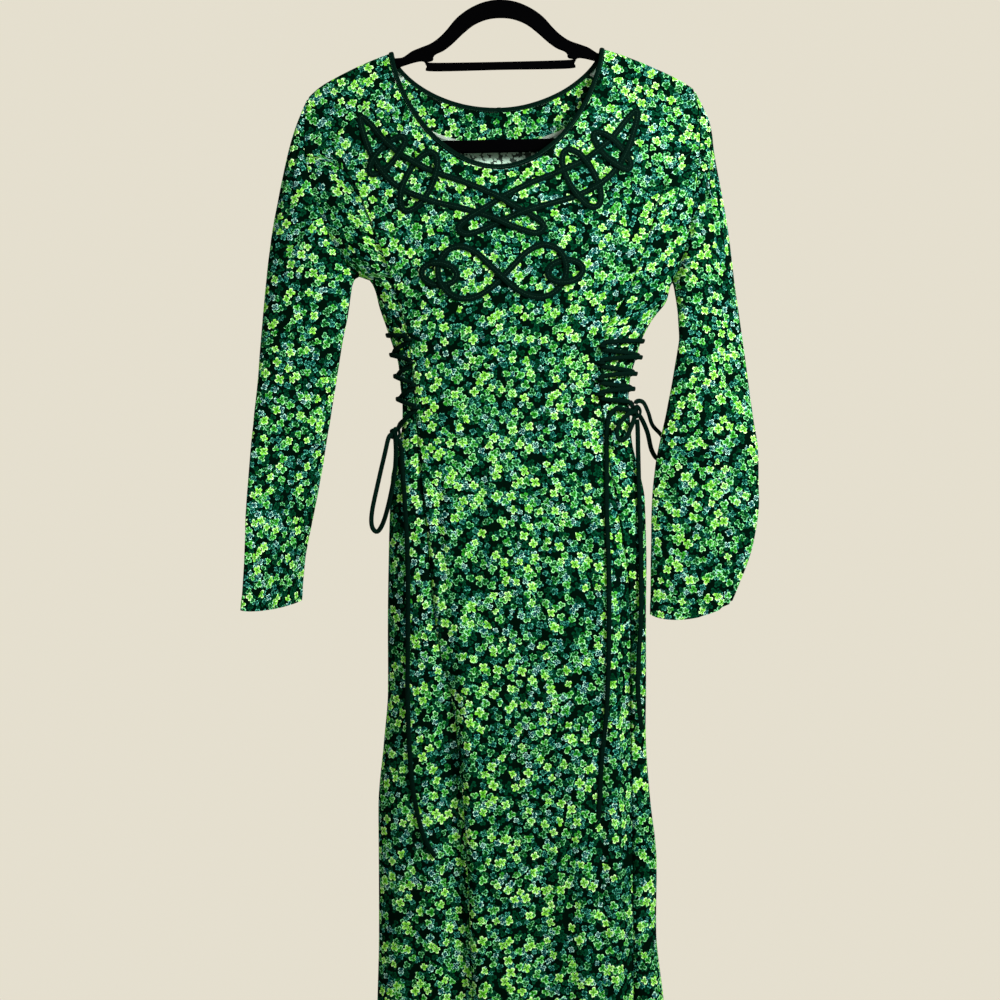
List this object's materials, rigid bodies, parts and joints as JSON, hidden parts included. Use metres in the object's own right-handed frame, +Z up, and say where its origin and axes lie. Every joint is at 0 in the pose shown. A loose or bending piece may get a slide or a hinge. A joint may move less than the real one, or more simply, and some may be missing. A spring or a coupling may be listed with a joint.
{
  "type": "maxi dress on hanger",
  "caption": "Long-sleeved full-length printed dress with a wide scooped neck, cord interlace on the chest and laced waist sides, hanging flat on a slim hanger.",
  "frame": {"origin": "inner top of the hook's bow, where its wire rests on a rail", "axes": "+X to the right of someone who looks at the front, front towards -Y, +Z up"},
  "size_m": [0.5629, 0.0977, 1.5534],
  "materials": {
    "cloth": "soft matt woven cloth with an all-over clover print in lime, mid green and teal on near-black green",
    "trim": "dark bottle green cloth: binding, applied cord, loops and laces",
    "hanger": "black flocked surface",
    "hook": "bright steel wire"
  },
  "bodies": {
    "root": {"back_neck_facing": "cloth", "back_panel": "cloth", "chest_leaf_left": "trim", "chest_leaf_right": "trim", "chest_lobes": "trim", "chest_ring_left": "trim", "chest_ring_right": "trim", "chest_wing_left": "trim", "chest_wing_right": "trim", "front_panel": "cloth", "hanger_frame": "hanger", "hanger_hook": "hook", "lace_bow_left": "trim", "lace_bow_right_in": "trim", "lace_bow_right_out": "trim", "lace_knot_left": "trim", "lace_knot_right": "trim", "lace_tail_left": "trim", "lace_tail_right_in": "trim", "lace_tail_right_out": "trim", "lacing_left_a": "trim", "lacing_left_b": "trim", "lacing_right_a": "trim", "lacing_right_b": "trim", "loop_left_back_1": "trim", "loop_left_back_2": "trim", "loop_left_back_3": "trim", "loop_left_back_4": "trim", "loop_left_front_1": "trim", "loop_left_front_2": "trim", "loop_left_front_3": "trim", "loop_left_front_4": "trim", "loop_right_back_1": "trim", "loop_right_back_2": "trim", "loop_right_back_3": "trim", "loop_right_back_4": "trim", "loop_right_front_1": "trim", "loop_right_front_2": "trim", "loop_right_front_3": "trim", "loop_right_front_4": "trim", "neck_binding": "trim", "side_panel_left": "cloth", "side_panel_right": "cloth", "sleeve_left": "cloth", "sleeve_right": "cloth"}
  },
  "joints": []
}
